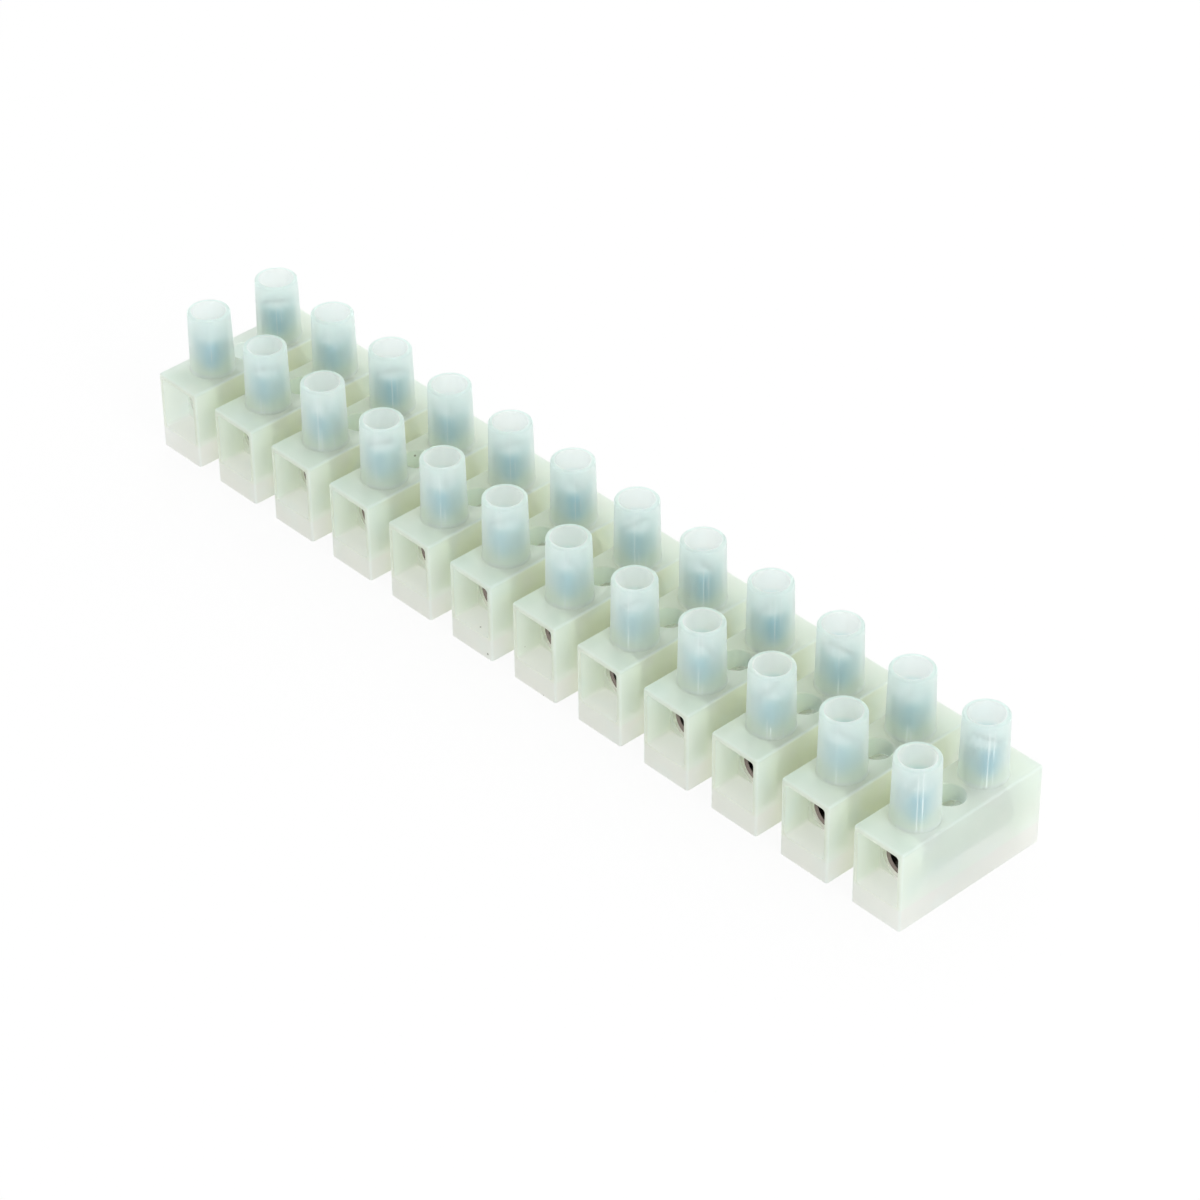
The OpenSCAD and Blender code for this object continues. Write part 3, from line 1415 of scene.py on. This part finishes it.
def store_turned(tree: GeometryTree, geometry: Wire, place: Wire) -> Wire:
    """Keep the place of each point on the lathe, whose axis is Z, as an attribute."""
    ends = {"Geometry": geometry, "Name": LATHE, "Value": place}
    return tree.node("GeometryNodeStoreNamedAttribute", ends, data_type="FLOAT_VECTOR", domain="POINT")


@dataclass(frozen=True)
class ClampScrews:
    """The slotted clamp screws, backed out in their towers, with a rolled thread."""

    sizes: StripSizes
    shank_r: float = 1.5 * MM
    head_h: float = 2.0 * MM
    head_chamfer: float = 0.2 * MM
    slot_w: float = 0.7 * MM
    slot_depth: float = 0.9 * MM
    point_r: float = 0.9 * MM
    point_h: float = 0.8 * MM
    thread_pitch: float = 0.5 * MM
    thread_depth: float = 0.27 * MM
    slot_turn: float = 137.5
    segments: int = 40
    rings_per_turn: int = 8
    axis_gap: float = 0.001 * MM
    sharp_angle: float = 35.0

    @property
    def length(self) -> float:
        """The screw's whole length."""
        return self.sizes.screw_top - self.sizes.screw_point

    def build(self, material: bpy.types.Material) -> list[bpy.types.Object]:
        """Make all screws in place of their CAD nodes.

        Args:
            material: The screws' material.

        Returns:
            The finished pieces in the order of the row, the front one first.
        """
        s = self.sizes
        blank = link("helper screw", self.blank())
        tree = self.tree()
        fixed = {
            "Blank": blank,
            "Thread Pitch": self.thread_pitch,
            "Thread Depth": self.thread_depth,
            "Thread Start": self.point_h,
            "Thread End": self.length - self.head_h,
            "Slot Width": self.slot_w,
            "Slot Depth": self.slot_depth,
            "Top": self.length,
            "Material": material,
        }
        pieces = []
        for pole in range(1, s.poles + 1):
            for side in Side:
                place = (s.pole_x(pole), side.value * s.tower_spacing / 2, s.screw_point)
                turn = math.radians(self.slot_turn * (2 * pole + side.value))
                piece = tree.build(f"screw_{pole}_{side.label}", {**fixed, "Place": place, "Turn": turn})
                smooth(piece, self.sharp_angle)
                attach(piece, f"screw_{pole}_{side.label}")
                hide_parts(f"clamp_screw_{pole}_{side.label}")
                pieces.append(piece)
        remove([blank])
        return pieces

    def tree(self) -> GeometryTree:
        """The tree that rolls the thread, mills the slot and sets the screw in its place.

        Returns:
            The finished tree.
        """
        thread = [f"Thread {name}" for name in ("Pitch", "Depth", "Start", "End")]
        numbers = (*thread, "Slot Width", "Slot Depth", "Top", "Turn")
        sockets = {"Blank": SocketKind.OBJECT, **{name: SocketKind.LENGTH for name in numbers}}
        tree = GeometryTree("Clamp screw", sockets | {"Place": SocketKind.PLACE, "Material": SocketKind.MATERIAL})
        x, y, z = tree.parts(tree.node("GeometryNodeInputPosition"))
        phase = tree.math("FRACT", z / tree["Thread Pitch"] - tree.math("ARCTAN2", y, x) / (2 * math.pi))
        groove = 1 - abs(phase * 2 - 1)
        inwards = -(groove * tree["Thread Depth"]) * self.taper(tree, z)
        scale = inwards / tree.math("MAXIMUM", tree.distance(x, y), self.axis_gap)
        offset = tree.vector(x * scale, y * scale)
        threaded = tree.node("GeometryNodeSetPosition", {"Geometry": tree.shape("Blank"), "Offset": offset})
        deep, top = tree["Slot Depth"], tree["Top"]
        size = tree.vector(top, tree["Slot Width"], deep * 2)
        cube = tree.node("GeometryNodeMeshCube", {"Size": size})
        blade = tree.node("GeometryNodeTransform", {"Geometry": cube, "Translation": tree.vector(z=top)})
        turned = store_turned(tree, tree.cut(threaded, blade), tree.node("GeometryNodeInputPosition"))
        ends = {"Geometry": turned, "Translation": tree["Place"], "Rotation": tree.vector(z=tree["Turn"])}
        tree.finish(tree.node("GeometryNodeTransform", ends))
        return tree

    def taper(self, tree: GeometryTree, z: Wire) -> Wire:
        """How much of the thread's depth there is at a height.

        Args:
            tree: The screw's tree.
            z: The height.

        Returns:
            1 along the thread, falling to 0 over one pitch at both of its ends.
        """
        start, end, pitch = tree["Thread Start"], tree["Thread End"], tree["Thread Pitch"]
        rise, fall = (
            tree.math("MINIMUM", tree.math("MAXIMUM", reach / pitch, 0.0), 1.0) for reach in (z - start, end - z)
        )
        return rise * fall

    def blank(self) -> bpy.types.Mesh:
        """The turned screw before its thread and slot, with its point on Z = 0.

        Returns:
            The blank's mesh.
        """
        head, neck, top = self.sizes.head_r, self.length - self.head_h, self.length
        turns = round((neck - self.point_h) / self.thread_pitch * self.rings_per_turn)
        shank = [(self.shank_r, self.point_h + (neck - self.point_h) * k / turns) for k in range(turns + 1)]
        profile = [
            (0.0, 0.0),
            (self.point_r, 0.0),
            *shank,
            (head, neck),
            (head, top - self.head_chamfer),
            (head - self.head_chamfer, top),
            (0.0, top),
        ]
        return revolve(profile, self.segments)


# Studio


@dataclass(frozen=True)
class Viewpoint:
    """The camera that matches the photograph; angles are in degrees."""

    azimuth: float = 47.498
    elevation: float = 36.904
    roll: float = -0.710
    distance: float = 445.21 * MM
    target: Place = (-1.809 * MM, 5.646 * MM, 0.0)
    lens: float = 122.58
    sensor: float = 36.0
    clip: Point = (1.0 * MM, 10.0)

    def build(self) -> None:
        """Make the scene's camera."""
        turn, lift, roll = (math.radians(a) for a in (self.azimuth, self.elevation, self.roll))
        back = Vector((math.sin(turn) * math.cos(lift), -math.cos(turn) * math.cos(lift), math.sin(lift)))
        right = Vector((0, 0, 1)).cross(back).normalized()
        up = back.cross(right)
        level = Matrix((right, up, back)).transposed().to_4x4()
        camera = bpy.data.objects.new("camera", bpy.data.cameras.new("camera"))
        camera.data.lens, camera.data.sensor_width, camera.data.sensor_fit = self.lens, self.sensor, "HORIZONTAL"
        camera.data.clip_start, camera.data.clip_end = self.clip
        place = Matrix.Translation(Vector(self.target) + back * self.distance)
        camera.matrix_world = place @ level @ Matrix.Rotation(roll, 4, "Z")
        bpy.context.scene.collection.objects.link(camera)
        bpy.context.scene.camera = camera


@dataclass(frozen=True)
class Softbox:
    """A rectangular area light that looks at the middle of the strip's underside."""

    name: str
    place: Place
    width: float
    length: float
    watts: float

    def build(self) -> None:
        """Add the light to the scene."""
        data = bpy.data.lights.new(self.name, "AREA")
        data.shape, data.size, data.size_y = "RECTANGLE", self.width, self.length
        data.energy = self.watts
        lamp = bpy.data.objects.new(self.name, data)
        lamp.location = self.place
        lamp.rotation_euler = (-Vector(self.place)).to_track_quat("-Z", "Y").to_euler()
        bpy.context.scene.collection.objects.link(lamp)


@dataclass(frozen=True)
class Studio:
    """A white sweep: soft light from all round, a pale floor and two softboxes."""

    horizon: float = 1.05
    zenith: float = 0.83
    slope: Point = (0.14, 0.22)
    floor_half: float = 1.0
    floor_gap: float = 0.02 * MM
    floor_grey: float = 0.92
    floor_white: float = 0.9
    boxes: tuple[Softbox, ...] = (
        Softbox("key", place=(0.56, -0.05, 0.42), width=0.30, length=0.30, watts=1.2),
        Softbox("rim", place=(-0.30, 0.30, 0.50), width=0.20, length=0.50, watts=0.5),
    )

    def build(self) -> None:
        """Set up the world, the floor and the lights."""
        self.world()
        self.floor()
        for box in self.boxes:
            box.build()
        bpy.context.scene.view_settings.view_transform = "Standard"

    def seen(self, g: Graph) -> Wire:
        """Rays that see the white sweep straight, in a mirror or through a clear piece.

        Args:
            g: The graph that asks.

        Returns:
            1 for such a ray, otherwise 0.
        """
        rays = g.node("ShaderNodeLightPath").socket.node
        kinds = ("Camera", "Glossy", "Transmission")
        camera, glossy, through = (Wire(g, rays.outputs[f"Is {kind} Ray"]) for kind in kinds)
        return g.math("MAXIMUM", g.math("MAXIMUM", camera, glossy), through)

    def world(self) -> None:
        """A white world, brighter towards the horizon, and plain white where it is seen."""
        world = bpy.data.worlds.new("studio")
        bpy.context.scene.world = world
        world.use_nodes = True
        world.node_tree.nodes.clear()
        g = Graph(world.node_tree)
        right, back, up = g.parts(g.node("ShaderNodeTexCoord", output="Generated"))
        seen = self.seen(g)
        light = self.horizon + g.math("MAXIMUM", up, 0.0) * (self.zenith - self.horizon)
        light = light + right * self.slope[0] + back * self.slope[1]
        sky = g.node("ShaderNodeBackground", {"Color": WHITE, "Strength": light * (1 - seen) + seen})
        g.node("ShaderNodeOutputWorld", {"Surface": sky})

    def floor(self) -> None:
        """A pale floor just under the strip that keeps a hint of its shadow."""
        half, below, grey = self.floor_half, -self.floor_gap, self.floor_grey
        corners = [(-half, -half, below), (half, -half, below), (half, half, below), (-half, half, below)]
        mesh = bpy.data.meshes.new("floor")
        mesh.from_pydata(corners, [], [(0, 1, 2, 3)])
        material, g = new_material("floor")
        diffuse = g.node("ShaderNodeBsdfDiffuse", {"Color": (grey, grey, grey, 1.0)})
        white = g.node("ShaderNodeEmission", {"Color": WHITE})
        mixed = g.node("ShaderNodeMixShader", {0: self.seen(g) * self.floor_white, 1: diffuse, 2: white})
        g.node("ShaderNodeOutputMaterial", {"Surface": mixed})
        mesh.materials.append(material)
        link("floor", mesh)


def main() -> None:
    """Build the strip and its studio around the frame."""
    logging.basicConfig(level=logging.INFO)
    sizes = StripSizes.from_frame()
    log.info("%d poles at %.2f mm", sizes.poles, sizes.pitch / MM)
    housing = Housing(sizes).build(MilkyPolyamide(sizes).build())
    tubes = ClampTubes(sizes).build(PLATED_BRASS.build())
    screws = ClampScrews(sizes).build(ZINC_STEEL.build())
    for piece in (housing, *tubes, *screws):
        log.info("%s: %d faces", piece.name, len(piece.data.polygons))
    Viewpoint().build()
    Studio().build()


if __name__ == "__main__":
    main()
